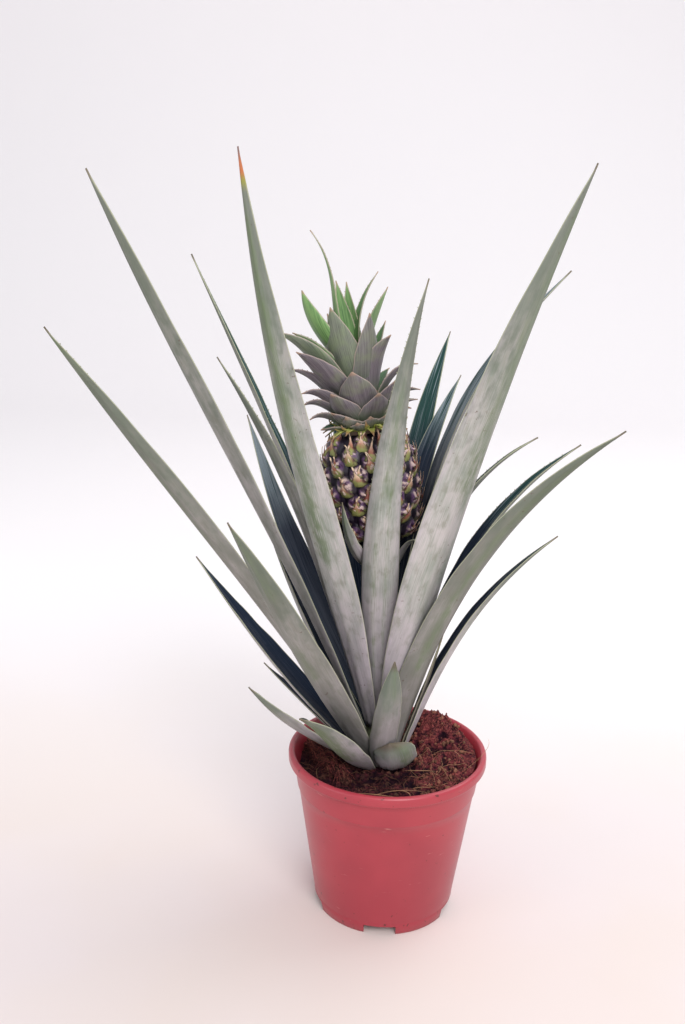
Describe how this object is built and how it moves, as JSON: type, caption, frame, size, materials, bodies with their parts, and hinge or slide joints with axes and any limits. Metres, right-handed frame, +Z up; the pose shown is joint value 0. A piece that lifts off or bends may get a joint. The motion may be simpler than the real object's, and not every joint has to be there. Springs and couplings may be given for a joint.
{
  "type": "potted pineapple plant",
  "caption": "Young fruiting pineapple plant with long arching grey-green leaves, a small fruit under a leafy crown, in a round red plastic nursery pot.",
  "frame": {"origin": "on the ground under the middle of the plant's whole spread; the pot's own axis stands at x +27.8 mm, y -5.7 mm", "axes": "+Z up, the longest extent; +X to the right of the plant as pictured, +Y to its back"},
  "size_m": [0.2876, 0.2094, 0.4451],
  "materials": {
    "pot": "satin moulded plastic, salmon red",
    "soil": "loose moist coir, dark red-brown",
    "stem": "matt, pale green, scaly at the foot",
    "leaf": "grey-green, waxy, with a pale scurf",
    "bract": "waxy green",
    "fruit": "hard scaly rind, satin",
    "crown": "waxy grey-green"
  },
  "bodies": {
    "root": {"pot": "pot", "soil": "soil", "stem": "stem", "leaf_01": "leaf", "leaf_02": "leaf", "leaf_03": "leaf", "leaf_04": "leaf", "leaf_05": "leaf", "leaf_06": "leaf", "leaf_07": "leaf", "leaf_08": "leaf", "leaf_09": "leaf", "leaf_10": "leaf", "leaf_11": "leaf", "leaf_12": "leaf", "leaf_13": "leaf", "leaf_14": "leaf", "leaf_15": "leaf", "leaf_16": "leaf", "leaf_17": "leaf", "leaf_18": "leaf", "leaf_19": "leaf", "leaf_20": "leaf", "leaf_21": "leaf", "leaf_22": "leaf", "leaf_23": "leaf", "leaf_24": "leaf", "leaf_25": "leaf", "leaf_26": "leaf", "leaf_27": "leaf", "leaf_28": "leaf", "bract_01": "bract", "bract_02": "bract", "bract_03": "bract", "fruit": "fruit", "crown": "crown"}
  },
  "joints": []
}
